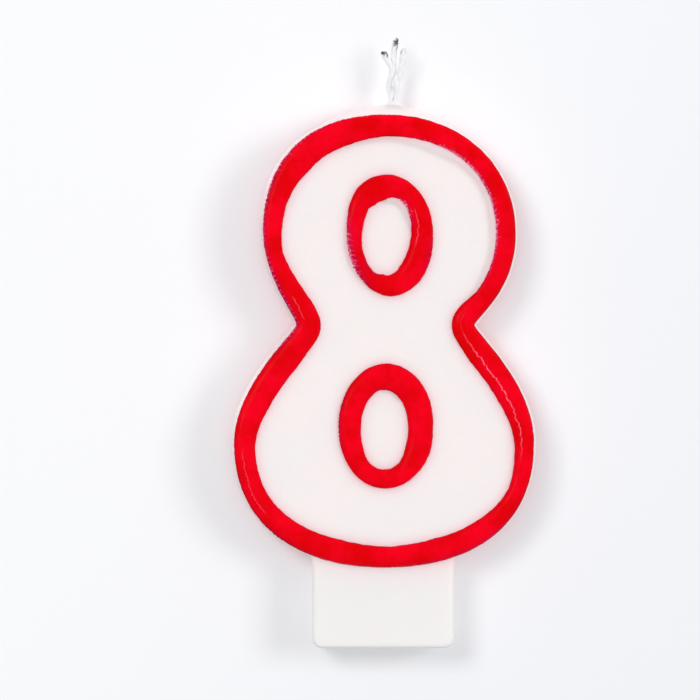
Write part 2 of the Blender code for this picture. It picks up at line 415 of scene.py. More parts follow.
def soften(section, reach, step=0.02):
    """Rounds a section's corners by averaging along its length, and returns it evenly spaced."""
    section = np.asarray(section, float)
    reached = np.concatenate([[0], np.cumsum(np.linalg.norm(np.diff(section, axis=0), axis=1))])
    places = np.arange(0, reached[-1], step)
    even = np.stack([np.interp(places, reached, section[:, axis]) for axis in (0, 1)], 1)
    window = int(reach / step) | 1
    half = window // 2
    kernel = np.hanning(window + 2)[1:-1]
    kernel /= kernel.sum()
    padded = np.concatenate([
        2 * even[0] - even[half:0:-1],
        even,
        2 * even[-1] - even[-2 : -half - 2 : -1],
    ])
    return np.stack([np.convolve(padded[:, axis], kernel, "valid") for axis in (0, 1)], 1)


def ridge_section(from_wall):
    """Across a ridge, as (share of its half width from the middle, depth).

    It starts at the side wall or at the face, and ends at the face.
    """
    half = REFERENCE_WIDTH / 2
    low_angle = 0.16
    turn = np.linspace(low_angle, math.pi - low_angle, 40)
    round_half = half - RIDGE_INSET
    ridge = np.stack([-round_half * np.cos(turn), FACE_DEPTH + RIDGE_HEIGHT * np.sin(turn)], 1)
    start = [(-half - 0.4, FACE_DEPTH)]
    if from_wall:
        start = [(-half - 0.02, WALL_DEPTH), (0.06 - half, FACE_DEPTH - 0.05)]
    return soften([*start, *ridge, (half + 0.4, FACE_DEPTH)], 0.42) / (half, 1)


def places_of(path, section, offset):
    """Where the given offset from a path comes on a section, from 0 to 1."""
    reached = (offset - path["centre"]) / path["half"]
    return np.interp(reached, section[:, 0], np.linspace(0, 1, len(section)))


def section_points(path, section, places, side):
    """Points and outward normals where a section is read at places (0 to 1) along a path.

    places has one row for each step across and one column for each station along.
    """
    index = places * (len(section) - 1)
    rows = np.arange(len(section))
    offset = path["centre"] + np.interp(index, rows, section[:, 0]) * path["half"]
    depth = np.interp(index, rows, section[:, 1])
    slope = np.gradient(section, axis=0)
    slope_in = np.interp(index, rows, slope[:, 0]) * path["half"]
    slope_out = np.interp(index, rows, slope[:, 1])
    length = np.hypot(slope_in, slope_out)
    inwards, outwards = -slope_out / length, slope_in / length
    points = np.stack([
        path["point"][:, 0] + path["inward"][:, 0] * offset,
        side * depth,
        path["point"][:, 1] + path["inward"][:, 1] * offset,
    ], -1)
    normals = np.stack([
        path["inward"][:, 0] * inwards,
        side * outwards,
        path["inward"][:, 1] * inwards,
    ], -1)
    return points, normals


def settle(points):
    """The slow unevenness that the whole casting and the wax on it share."""
    wave = noise_at(points * (1, 0.2, 1), 9.0, 2) + 0.5 * noise_at(points * (1, 0.2, 1), 4.0, 3)
    settled = points.copy()
    settled[..., 1] *= 1 + WAVE * wave
    return settled


# ------------------------ the white casting


class Casting:
    """Collects the points and faces of the one closed white body."""

    def __init__(self):
        self.points = []
        self.faces = []
        self.count = 0

    def add_points(self, points):
        """Adds a block of points and returns the index of each, in the block's shape."""
        flat = points.reshape(-1, 3)
        indices = np.arange(self.count, self.count + len(flat)).reshape(points.shape[:-1])
        self.points.append(flat)
        self.count += len(flat)
        return indices

    def add_quads(self, first, second, closed=True):
        """Joins two rows of indices with quads."""
        pairs = zip(first, second, np.roll(second, -1), np.roll(first, -1))
        quads = [tuple(int(corner) for corner in quad) for quad in pairs]
        self.faces += quads if closed else quads[:-1]

    def add_face_sheet(self, outer, holes, side):
        """Fills the flat face between an outer loop and any holes with small triangles."""
        placed = np.concatenate(self.points)[:, (0, 2)]
        known = np.concatenate([outer, *holes])
        loops = [placed[loop] for loop in (outer, *holes)]
        rim = placed[known]
        spread = even_spread(loops[0])
        spread = spread[on_face(spread, loops)]
        gaps, _ = nearest(spread, rim)
        inner, gaps = spread[gaps > FIELD_SPACING * 0.6], gaps[gaps > FIELD_SPACING * 0.6]
        corners = np.concatenate([rim, inner])
        edges = []
        start = 0
        for loop in loops:
            edges += [(start + step, start + (step + 1) % len(loop)) for step in range(len(loop))]
            start += len(loop)
        result = delaunay_2d_cdt([Vector(corner) for corner in corners], edges, [], 1, 1e-7)
        spots = np.stack([inner[:, 0], np.full(len(inner), side * FACE_DEPTH), inner[:, 1]], 1)
        sink = FACE_SINK * (1 - np.exp(-gaps / FACE_SINK_REACH))
        sink += 0.018 * noise_at(spots, 1.7, 5) * (1 - np.exp(-gaps / 0.8))
        spots[:, 1] -= side * sink
        indices = np.concatenate([known, self.add_points(spots)])
        sources = np.array([group[0] for group in result[3]])
        faces = sources[np.array(result[2])]
        wanted = on_face(corners[faces].mean(1), loops)
        self.faces += [tuple(face) for face in indices[faces[wanted]].tolist()]


def on_face(points, loops):
    """Whether each point is inside the first loop and outside the others."""
    wanted = enclosed(points, loops[0])
    for hole in loops[1:]:
        wanted &= ~enclosed(points, hole)
    return wanted


def enclosed(points, loop):
    """Whether each point is inside a loop: a line from it crosses the loop an odd number of times."""
    after = np.roll(loop, -1, 0)
    crossings = np.zeros(len(points), int)
    for (x, z), (next_x, next_z) in zip(loop, after):
        spans = (z > points[:, 1]) != (next_z > points[:, 1])
        if z != next_z:
            reached = x + (points[:, 1] - z) / (next_z - z) * (next_x - x)
            crossings += spans & (points[:, 0] < reached)
    return crossings % 2 == 1


def nearest(points, others):
    """How far each point is from the closest of the others, and which one that is."""
    gaps = np.empty(len(points))
    which = np.empty(len(points), int)
    for number, point in enumerate(points):
        squares = ((others - point) ** 2).sum(1)
        which[number] = squares.argmin()
        gaps[number] = math.sqrt(squares[which[number]])
    return gaps, which


def even_spread(outer):
    """Points in even staggered rows over the box round a loop."""
    low, high = outer.min(0), outer.max(0)
    rows = np.arange(low[1], high[1], FIELD_SPACING * math.sqrt(3) / 2)
    spots = []
    for number, z in enumerate(rows):
        shift = FIELD_SPACING / 2 * (number % 2)
        spots += [(x, z) for x in np.arange(low[0] + shift, high[0], FIELD_SPACING)]
    return np.array(spots)


def build_body(material):
    """The white casting: ridges and side wall in one band, the foot, the rings and the faces."""
    casting = Casting()
    path = outline_path(BODY_STATIONS)
    section = ridge_section(from_wall=True)
    across = np.linspace(0, 1, BODY_RIDGE_STEPS)[:, None] * np.ones(BODY_STATIONS)
    wall_rows = np.linspace(-WALL_DEPTH, WALL_DEPTH, WALL_STEPS)
    front, _ = section_points(path, section, across[::-1], -1)
    back, _ = section_points(path, section, across, 1)
    wall = wall_points(path, wall_rows[1:-1])
    band = settle(np.concatenate([front, wall, back]))
    band = raise_mound(band)
    rows = casting.add_points(band)

    first_wall = len(across) - 1
    last_wall = first_wall + len(wall_rows) - 1
    bottom = foot_columns(path)
    for upper in range(len(rows) - 1):
        skipped = set(bottom[:-1]) if first_wall <= upper < last_wall else set()
        for column in range(BODY_STATIONS):
            if column not in skipped:
                after = (column + 1) % BODY_STATIONS
                lower = upper + 1
                face = (rows[upper][column], rows[upper][after], rows[lower][after], rows[lower][column])
                casting.faces.append(tuple(int(corner) for corner in face))
    add_foot(casting, rows[first_wall : last_wall + 1][:, bottom], band)

    for side, foot_row in ((-1, rows[0]), (1, rows[-1])):
        holes = []
        for which in RINGS:
            ring = ring_path(which, RING_STATIONS)
            steps = np.linspace(0, 1, BODY_RING_STEPS)[:, None] * np.ones(RING_STATIONS)
            spots, _ = section_points(ring, ridge_section(from_wall=False), steps, side)
            ring_rows = casting.add_points(settle(spots))
            for outer, inner in zip(ring_rows, ring_rows[1:]):
                casting.add_quads(outer, inner)
            casting.add_face_sheet(ring_rows[-1], [], side)
            holes.append(ring_rows[0])
        casting.add_face_sheet(foot_row, holes, side)

    points = np.concatenate(casting.points)
    tints = {"blush_and_glow": blush_and_glow_at(points), "crease_shade": crease_shade_at(points)}
    body = add_piece("wax_figure", points, casting.faces, material, tints)
    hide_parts("wax_body")
    return body


def wall_points(path, depths):
    """The side wall between the two ridges, leaning out to the mould's parting line."""
    rows = []
    for depth in depths:
        lean = WALL_LEAN * (1 - abs(depth) / WALL_DEPTH) + 0.02
        lean += FLASH * math.exp(-((depth / FLASH_WIDTH) ** 2))
        lean = lean + 0.02 * wander(path["share"], 30, 11) * (1 - abs(depth) / WALL_DEPTH)
        spots = path["point"] - path["inward"] * np.reshape(lean, (-1, 1))
        rows.append(np.stack([spots[:, 0], np.full(len(spots), depth), spots[:, 1]], 1))
    return np.array(rows)


def raise_mound(points):
    """Lifts the wall's top into the low mound, with a collar of wax drawn up the wick."""
    across = points[..., 0] - WICK_X
    reach = 1 - (across / MOUND_REACH_X) ** 2
    depth = 1 - (points[..., 1] / MOUND_REACH_Y) ** 2
    on_top = smooth_step(*MOUND_BLEND, points[..., 2])
    mound = MOUND * np.clip(reach, 0, None) * np.clip(depth, 0, None)
    radius = np.hypot(across, points[..., 1])
    collar = COLLAR * np.exp(-((radius / COLLAR_REACH) ** 2))
    raised = points.copy()
    raised[..., 2] += (mound + collar) * on_top
    return raised


def foot_columns(path):
    """The stations along the bottom of the lower lobe that the foot grows from."""
    x, z = path["point"][:, 0], path["point"][:, 1]
    return np.where((np.abs(x) < FOOT_HALF_WIDTH) & (z < FOOT_GROWS_BELOW))[0]


def add_foot(casting, patch, band):
    """Draws the foot down out of a rectangular patch of the wall and closes it underneath.

    patch holds the indices of the wall's grid there, one row for each depth.
    """
    placed = band.reshape(-1, 3)
    edge = [(0, column) for column in range(patch.shape[1])]
    edge += [(row, patch.shape[1] - 1) for row in range(1, patch.shape[0])]
    edge += [(patch.shape[0] - 1, column) for column in range(patch.shape[1] - 2, -1, -1)]
    edge += [(row, 0) for row in range(patch.shape[0] - 2, 0, -1)]
    rim = np.array([patch[spot] for spot in edge])
    top = placed[rim]
    shares = np.concatenate([
        (0.0, 0.012, 0.035, 0.07),
        np.linspace(0.12, 0.86, 22),
        1 - np.array((0.115, 0.09, 0.068, 0.05, 0.036, 0.024, 0.014, 0.007, 0.002, 0.0)),
    ])
    square = np.stack([
        np.interp(top[:, 0], (top[:, 0].min(), top[:, 0].max()), (-FOOT_HALF_WIDTH, FOOT_HALF_WIDTH)),
        top[:, 1] / np.abs(top[:, 1]).max() * FOOT_HALF_DEPTH,
    ], 1)
    levels = []
    for share in shares:
        z = top[:, 2] * (1 - share)
        xy = round_rectangle(square, z)
        ease = smooth_step(0.0, 0.05, share)
        x = top[:, 0] * (1 - ease) + xy[:, 0] * ease
        y = top[:, 1] * (1 - ease) + xy[:, 1] * ease
        levels.append(np.stack([x, y, z], 1))
    levels = np.array(levels)
    uneven = noise_at(levels, 5.0, 21) * 0.05 * smooth_step(0.3, 2.0, levels[..., 2])
    for axis in (0, 1):
        levels[..., axis] += np.sign(levels[..., axis]) * uneven * (levels[..., 2] < FOOT_UNEVEN_BELOW)
    lower = casting.add_points(levels[1:])
    loops = [rim, *lower]
    for upper, under in zip(loops, loops[1:]):
        casting.add_quads(upper, under)
    sole = np.empty(patch.shape, int)
    for index, spot in zip(loops[-1], edge):
        sole[spot] = index
    last = levels[-1]
    xs = last[: patch.shape[1], 0]
    side_start = patch.shape[1] - 1
    ys = last[side_start : side_start + patch.shape[0], 1]
    inner = np.array([[(x, y, 0.0) for x in xs[1:-1]] for y in ys[1:-1]])
    sole[1:-1, 1:-1] = casting.add_points(inner)
    for upper, under in zip(sole, sole[1:]):
        casting.add_quads(upper, under, closed=False)


def round_rectangle(square, z):
    """The foot's outline at a height: rounded uprights, corners and lower edges."""
    half_width = FOOT_HALF_WIDTH - rounded_off(FOOT_CORNER, z)
    half_depth = FOOT_HALF_DEPTH - rounded_off(FOOT_UNDER_EDGE, z)
    x = square[:, 0] / FOOT_HALF_WIDTH * half_width
    y = square[:, 1] / FOOT_HALF_DEPTH * half_depth
    inner_x = np.clip(x, FOOT_UPRIGHT_EDGE - half_width, half_width - FOOT_UPRIGHT_EDGE)
    inner_y = np.clip(y, FOOT_UPRIGHT_EDGE - half_depth, half_depth - FOOT_UPRIGHT_EDGE)
    gap = np.hypot(x - inner_x, y - inner_y)
    scale = FOOT_UPRIGHT_EDGE / np.where(gap > 0, gap, 1.0)
    return np.stack([inner_x + (x - inner_x) * scale, inner_y + (y - inner_y) * scale], 1)


def rounded_off(radius, z):
    """How far a round edge of that radius has drawn in at a height above the underside."""
    below = np.clip(radius - z, 0.0, radius)
    return radius - np.sqrt(radius**2 - below**2)


def blush_and_glow_at(points):
    """How much pink the white has at each point, from bled red and a painted glow of red light from the
    skins: 1 beside a red skin, 0 away from it.
    """
    flat = points[:, (0, 2)]
    gaps = []
    for path in tint_paths():
        if path["kind"] == "outline":
            wall_gap, station = nearest(flat, path["point"])
            wall_tint = 0.30 + 0.70 * np.clip(places_on(path["share"], RUBBED["outline"]), 0, 1)[station]
        else:
            gaps.append(nearest(flat, path["point"] - path["inward"] * path["red_outer"][:, None])[0])
        gaps.append(nearest(flat, path["point"] + path["inward"] * path["red_inner"][:, None])[0])
    depth = np.abs(points[:, 1])
    # Pink over the face and down the wall: bled red and a painted glow of red light from the skins
    on_the_face = np.exp(-np.min(gaps, 0) / BLUSH_AND_GLOW_REACH) * (depth > WALL_DEPTH)
    down_the_wall = np.exp(-wall_gap / WALL_BLUSH_AND_GLOW_REACH) * wall_tint * smooth_step(-1.5, WALL_DEPTH, depth)
    return np.maximum(on_the_face, down_the_wall)


def tint_paths():
    """The edge and the rings, as finely divided as the tints in the white need."""
    return outline_path(TINT_STATIONS), *(ring_path(which, RING_TINT_STATIONS) for which in RINGS)


def crease_shade_at(points):
    """How strong the painted shade is in the crease where a bare ridge slope meets the face."""
    flat = points[:, (0, 2)]
    gaps = []
    for path in tint_paths():
        bare = places_on(path["share"], BARE_INNER[path["kind"]])
        foot = path["point"] + path["inward"] * (path["red_inner"] + bare + 0.05)[:, None]
        gaps.append(nearest(flat, foot[bare > 0.15])[0])
    return np.exp(-((np.min(gaps, 0) / CREASE_SHADE_WIDTH) ** 2))


# ------------------------ the red skins


def skin_edges(path, side):
    """Where the skin's two edges run, as offsets from the path, and how torn each one is."""
    kind, share = path["kind"], path["share"]
    around = 1 if kind == "outline" else RING_TO_EDGE
    seed = {"outline": 40, "upper": 60, "lower": 80}[kind] + (0 if side < 0 else 7)
    over_the_edge = 0.03 if kind == "outline" else 0.0
    edges = []
    for number, (edge, torn) in enumerate((
        (over_the_edge - path["red_outer"], places_on(share, TORN_OUTER[kind])),
        (path["red_inner"], places_on(share, TORN_INNER[kind])),
    )):
        for step, (size, cycles) in enumerate(EDGE_WAVER):
            edge = edge + size * wander(share, cycles * around, seed + 2 * step + number)
        whole, tearing, cycles = EDGE_TEETH
        edge = edge + (whole + tearing * torn) * wander(share, cycles * around, seed + 4 + number)
        edges.append((edge, np.clip(torn, 0, 1)))
    return edges


def build_coat(name, path, side, material):
    """A closed skin of wax over a ridge: thin, lumpy, with uneven edges."""
    stations = len(path["share"])
    section = ridge_section(from_wall=path["kind"] == "outline")
    (start, torn_start), (end, torn_end) = skin_edges(path, side)
    start = np.maximum(places_of(path, section, start), 0.004)
    end = places_of(path, section, end)
    rows = np.linspace(0, 1, COAT_STEPS)
    across = (0.3 * (1 - np.cos(rows * math.pi)) + 0.4 * rows)[:, None]
    points, normals = section_points(path, section, start + (end - start) * across, side)
    settled = settle(points)
    run = (end - start) * section_length(section) * path["half"] / (REFERENCE_WIDTH / 2)
    from_start = across * run
    from_end = (1 - across) * run
    edge_gap = np.minimum(from_start, from_end)
    seen = path["half"] * np.interp(
        start + (end - start) * across, np.linspace(0, 1, len(section)), section[:, 0]
    )
    rubbed = places_on(path["share"], RUBBED[path["kind"]])
    rubbed = rubbed * np.exp(-(((seen - seen[0]) / RUBBED_WIDTH[path["kind"]]) ** 2))
    rubbed_inner = places_on(path["share"], RUBBED_INNER[path["kind"]])
    rubbed = rubbed + rubbed_inner * np.exp(-(((seen[-1] - seen) / RUBBED_INNER_WIDTH) ** 2))
    strokes = stroke_marks(path, across)
    # Where the painted highlight streaks along the scrapes run
    highlight_line_gap, line = scrape_and_highlight_line(path, across)
    thickness = COAT_DEPTH + noise_at(settled, 1.6, 31) * 0.030 + noise_at(settled, 0.6, 32) * 0.010
    burr = line * 0.03 * np.exp(-((highlight_line_gap / 0.035) ** 2))
    brushed = (strokes * 0.05 - 0.03) * np.clip(rubbed, 0, 1)
    thickness = thickness + burr + brushed
    round_off = 1 - (1 - np.clip(edge_gap / COAT_EDGE_ROUND, 0, 1)) ** 2
    taper = np.sqrt(np.clip(round_off, 0, 1))
    outer = settled + normals * (np.maximum(thickness * taper, 0) + COAT_LIFT)[..., None]
    under = settled - normals * (COAT_SUNK * np.clip(taper, 0.1, 1))[..., None]
    grid = np.concatenate([outer, under[::-1]])
    faces = loop_grid(len(grid), stations).tolist()
    here = np.arange(stations)
    after = (here + 1) % stations
    last = (len(grid) - 1) * stations
    faces += np.stack([last + here, last + after, after, here], 1).tolist()

    bare = worn_through(from_start, from_end, torn_start, torn_end, settled)
    marks = {
        # rim: painted shade along both edges of the skin
        "rim": np.exp(-((np.minimum(seen - seen[0], seen[-1] - seen) / RIM_SHADE_WIDTH) ** 2)),
        "rubbed": rubbed,
        "strokes": strokes * np.clip(rubbed * 1.6 - 0.4, 0, 1),
        # line: a painted highlight streak along each scrape
        "line": line,
        "highlight_line_gap": highlight_line_gap,
        "bare": bare,
    }
    both_sides = {key: np.concatenate([value, value[::-1]]).ravel() for key, value in marks.items()}
    coat = add_piece(name, grid.reshape(-1, 3), faces, material, both_sides)
    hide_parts(name)
    return coat


def section_length(section):
    """How long a section is in mm at the ridge width it was drawn at."""
    half = REFERENCE_WIDTH / 2
    return np.linalg.norm(np.diff(section * (half, 1), axis=0), axis=1).sum()


def scrape_and_highlight_line(path, across):
    """How far each place is from a hair-thin wiggling scrape with its painted highlight streak, and how
    strongly the streak shows there.
    """
    share = path["share"]
    around = 1 if path["kind"] == "outline" else RING_TO_EDGE
    shape = np.broadcast_shapes(across.shape, share.shape)
    gap, strength = np.ones(shape), np.zeros(shape)
    for start, end, where, highlight_strength in SCRAPE_AND_HIGHLIGHT_LINES[path["kind"]]:
        where = where + 0.018 * wander(share, 300 * around, 91) + 0.030 * wander(share, 110 * around, 94)
        where = where + 0.030 * wander(share, 35 * around, 92)
        fade = 0.2 * (end - start)
        shown = smooth_step(start, start + fade, share) * (1 - smooth_step(end - fade, end, share))
        shown = shown * (0.5 + 0.5 * smooth_step(-0.8, 0.2, wander(share, 110 * around, 93)))
        gap = np.where(shown > 0, np.abs(across - where), gap)
        strength = np.maximum(strength, shown * highlight_strength)
    return gap, strength


def stroke_marks(path, across):
    """Short strokes that run across the skin, as a brush leaves them."""
    outline = path["kind"] == "outline"
    cycles, slant = (400, 0.003) if outline else (80, 0.03)
    return smooth_step(0.0, 0.6, wander((path["share"] + slant * across) % 1.0, cycles, 97))


def worn_through(from_start, from_end, torn_start, torn_end, points):
    """1 where the red is scraped so thin at a torn edge that the pale ridge shows through."""
    grain = noise_at(points, 0.28, 51) + 0.6 * noise_at(points, 0.13, 52)
    worn = np.zeros(points.shape[:-1])
    for gap, torn in ((from_start, torn_start), (from_end, torn_end)):
        near = np.exp(-gap / (0.08 + 0.16 * torn)) * torn
        worn = np.maximum(worn, smooth_step(0.32, 0.62, near + 0.45 * grain * (near > 0.05)))
    return worn


# ------------------------ the wick


def plait_point(height, phase):
    """Where a strand of the plait is at a height; the plait is drawn in where it leaves the wax."""
    turn = TAU * height / PLAIT_PITCH + phase
    above = height - WAX_TOP
    open_by = 1 - PLAIT_NECK * (1 - float(smooth_step(0.0, PLAIT_NECK_REACH, abs(above))))
    x = WICK_X + WICK_LEAN * max(above, 0.0) + PLAIT_HALF_WIDTH * open_by * math.sin(turn)
    return np.array((x, PLAIT_HALF_DEPTH * open_by * math.sin(2 * turn), height))


def strand_route(tip, phase):
    """A strand's centre line: coarse steps inside the wax, fine steps where it shows."""
    heights = np.concatenate([
        np.arange(STRAND_BOTTOM, WAX_TOP - 1.5, 0.9),
        np.linspace(WAX_TOP - 1.5, PLAIT_TOP, 48),
    ])
    plait = np.array([plait_point(height, phase) for height in heights])
    leaving = plait[-1] - plait[-2]
    leaving /= np.linalg.norm(leaving)
    end = np.array(tip)
    reach = np.linalg.norm(end - plait[-1]) / 3
    share = np.linspace(0, 1, 40)[1:, None]
    first, last = plait[-1] + leaving * reach, end - np.array((0.1, 0.0, 1.0)) * reach
    return np.concatenate([plait, curve_points(plait[-1], first, last, end, share)])


def tube(route, radii, sides):
    """A closed round tube along a route, with a domed end at the top."""
    along = np.gradient(route, axis=0)
    along /= np.linalg.norm(along, axis=1)[:, None]
    across = np.cross(along, (0.0, 1.0, 0.0))
    across /= np.linalg.norm(across, axis=1)[:, None]
    up = np.cross(along, across)
    turn = TAU * np.arange(sides) / sides
    ring = np.cos(turn)[None, :, None] * across[:, None] + np.sin(turn)[None, :, None] * up[:, None]
    points = (route[:, None] + ring * np.reshape(radii, (-1, 1, 1))).reshape(-1, 3)
    faces = loop_grid(len(route), sides).tolist()
    faces.append(list(range(sides))[::-1])
    faces.append(list(range(len(points) - sides, len(points))))
    return points, faces


def build_strand(which, tip, phase, number, material):
    """A bundle of twisted plies with a frayed end that darkens towards its tip."""
    draw = np.random.default_rng(300 + number)
    route = strand_route(tip, phase)
    reached = np.concatenate([[0], np.cumsum(np.linalg.norm(np.diff(route, axis=0), axis=1))])
    strength, dark_reach = DARK_TIPS[which]
    fraying = smooth_step(reached[-1] - 2.4, reached[-1], reached)
    fullness = 0.80 + 0.32 * smooth_step(WAX_TOP, WAX_TOP + 2.8, route[:, 2])
    parts = []
    for ply in range(PLIES + 1):
        core = ply == PLIES
        lead = TAU * ply / PLIES + draw.uniform(-0.2, 0.2)
        turn = TAU * reached / PLY_PITCH + lead
        orbit = (0.0 if core else PLY_ORBIT) * fullness + fraying * draw.uniform(0.0, 0.15)
        line = route.copy()
        line[:, 0] += orbit * np.cos(turn)
        line[:, 1] += orbit * np.sin(turn)
        cut = len(route) - int(draw.integers(0, 4))
        radii = PLY_RADIUS * fullness * (1 + 0.06 * np.sin(TAU * reached / 0.8 + lead))
        radii = radii[:cut] * (1 - 0.25 * fraying[:cut])
        radii[-3:] *= (0.85, 0.6, 0.25)
        spots, quads = tube(line[:cut], radii, PLY_SIDES)
        length = dark_reach * draw.uniform(0.35, 1.0)
        dark = smooth_step(reached[cut - 1] - length, reached[cut - 1] - length * 0.4, reached[:cut])
        parts.append((spots, quads, np.repeat(dark * strength, PLY_SIDES)))
    for _ in range(STRAY_FIBRES):
        parts.append(stray_fibre(route, reached, draw))
    starts = np.cumsum([0] + [len(spots) for spots, _, _ in parts])
    faces = [
        [corner + start for corner in face]
        for start, (_, quads, _) in zip(starts, parts)
        for face in quads
    ]
    points = np.concatenate([spots for spots, _, _ in parts])
    tip_dark = np.concatenate([dark for _, _, dark in parts])
    piece = add_piece(f"wick_cotton_{which}", points, faces, material, {"tip_dark": tip_dark})
    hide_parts(f"wick_strand_{which}")
    return piece


def stray_fibre(route, reached, draw):
    """One loose cotton fibre that leaves the strand and curls."""
    shown = np.where(route[:, 2] > WAX_TOP + 1.0)[0]
    start = int(draw.choice(shown[:-4]))
    away = np.array((draw.uniform(-1, 1), draw.uniform(-1, 1), draw.uniform(0.2, 1.0)))
    away /= np.linalg.norm(away)
    bend = draw.uniform(-0.5, 0.5, 3)
    share = np.linspace(0, 1, 9)[:, None]
    line = route[start] + away * share * draw.uniform(0.45, 0.85) + bend * share**2 * 0.35
    line[:, 2] = np.minimum(line[:, 2], FIBRE_TOP)
    radii = FIBRE_RADIUS * (1 - 0.6 * share[:, 0])
    spots, quads = tube(line, radii, 4)
    return spots, quads, np.zeros(len(spots))


# ------------------------ materials


class Shader:
    """A material being built: nodes are added by type and wired by name."""

    def __init__(self, name):
        self.material = bpy.data.materials.new(name)
        self.material.use_nodes = True
        self.nodes = self.material.node_tree.nodes
        self.links = self.material.node_tree.links
        self.surface = self.nodes["Principled BSDF"]
        self.coordinates = self.nodes.new("ShaderNodeTexCoord").outputs["Object"]

    def noise(self, size, detail=3.0, roughness=0.55, distortion=0.0):
        """Noise whose features are about size metres across, from 0 to 1."""
        node = self.nodes.new("ShaderNodeTexNoise")
        node.inputs["Scale"].default_value = 1 / size
        node.inputs["Detail"].default_value = detail
        node.inputs["Roughness"].default_value = roughness
        node.inputs["Distortion"].default_value = distortion
        self.links.new(self.coordinates, node.inputs["Vector"])
        return node.outputs["Fac"]

    def attribute(self, name):
        node = self.nodes.new("ShaderNodeAttribute")
        node.attribute_name = name
        return node.outputs["Fac"]

    def math(self, operation, first, second):
        node = self.nodes.new("ShaderNodeMath")
        node.operation = operation
        for socket, value in zip(node.inputs, (first, second)):
            self.feed(value, socket)
        return node.outputs[0]

    def ramp(self, value, low, high, to_low=0.0, to_high=1.0):
        node = self.nodes.new("ShaderNodeMapRange")
        node.interpolation_type = "SMOOTHSTEP"
        for socket, number in zip(node.inputs[1:5], (low, high, to_low, to_high)):
            socket.default_value = number
        self.feed(value, node.inputs[0])
        return node.outputs[0]

    def mix(self, share, first, second):
        node = self.nodes.new("ShaderNodeMix")
        node.data_type = "RGBA"
        self.feed(share, node.inputs[0])
        self.feed(first, node.inputs[6])
        self.feed(second, node.inputs[7])
        return node.outputs[2]

    def feed(self, value, socket):
        if isinstance(value, bpy.types.NodeSocket):
            self.links.new(value, socket)
        elif isinstance(value, tuple):
            socket.default_value = (*value, 1.0)
        else:
            socket.default_value = value

    def bump(self, height, strength, distance):
        node = self.nodes.new("ShaderNodeBump")
        node.inputs["Strength"].default_value = strength
        node.inputs["Distance"].default_value = distance
        self.links.new(height, node.inputs["Height"])
        self.links.new(node.outputs["Normal"], self.surface.inputs["Normal"])

    def set(self, **values):
        for name, value in values.items():
            self.feed(value, self.surface.inputs[name.replace("_", " ")])


def white_wax():
    """Translucent warm white wax, cloudy, with tiny pits; pink beside the skins from bled red and a painted
    glow of red light, painted shade in the creases below bare ridge slopes, and painted shade greying the
    foot.
    """
    shader = Shader("white_candle_wax")
    cloud = shader.noise(0.011, 2.0)
    tone = shader.mix(shader.ramp(cloud, 0.35, 0.65), (0.900, 0.858, 0.850), (0.925, 0.858, 0.846))
    mottle = shader.noise(0.0024, 4.0)
    tone = shader.mix(shader.ramp(mottle, 0.52, 0.75, 0.0, 0.25), tone, (0.89, 0.82, 0.80))
    place = shader.nodes.new("ShaderNodeSeparateXYZ")
    shader.feed(shader.coordinates, place.inputs[0])
    # Painted shade: the foot, below about 10.5 mm, is greyer and less pink than the face
    foot = shader.ramp(place.outputs["Z"], 0.009, 0.012, 0.8, 0.0)
    tone = shader.mix(foot, tone, (0.868, 0.855, 0.845))
    # Pink beside the skins: bled red and a painted glow of red light
    blush_and_glow = shader.math("MULTIPLY", shader.attribute("blush_and_glow"), shader.ramp(mottle, 0.3, 0.7, 0.70, 0.95))
    tone = shader.mix(blush_and_glow, tone, (0.98, 0.55, 0.60))
    # Painted shade in the creases below bare ridge slopes
    crease_shade = shader.math("MULTIPLY", shader.attribute("crease_shade"), shader.ramp(mottle, 0.3, 0.6, 0.3, 0.6))
    tone = shader.mix(crease_shade, tone, (0.70, 0.64, 0.62))
    rough = shader.ramp(shader.noise(0.0016, 4.0), 0.35, 0.7, 0.34, 0.52)
    peel = shader.noise(0.0009, 3.0)
    pits = shader.ramp(shader.noise(0.00033, 2.0), 0.30, 0.42)
    relief = shader.math("ADD", peel, shader.math("MULTIPLY", pits, 0.35))
    shader.bump(relief, 0.30, 0.00008)
    shader.set(Base_Color=tone, Roughness=rough, IOR=1.44)
    shader.set(Subsurface_Weight=0.35, Subsurface_Scale=0.001)
    shader.surface.inputs["Subsurface Radius"].default_value = (2.4, 1.9, 1.7)
    shader.set(Specular_IOR_Level=0.03)
    return shader.material


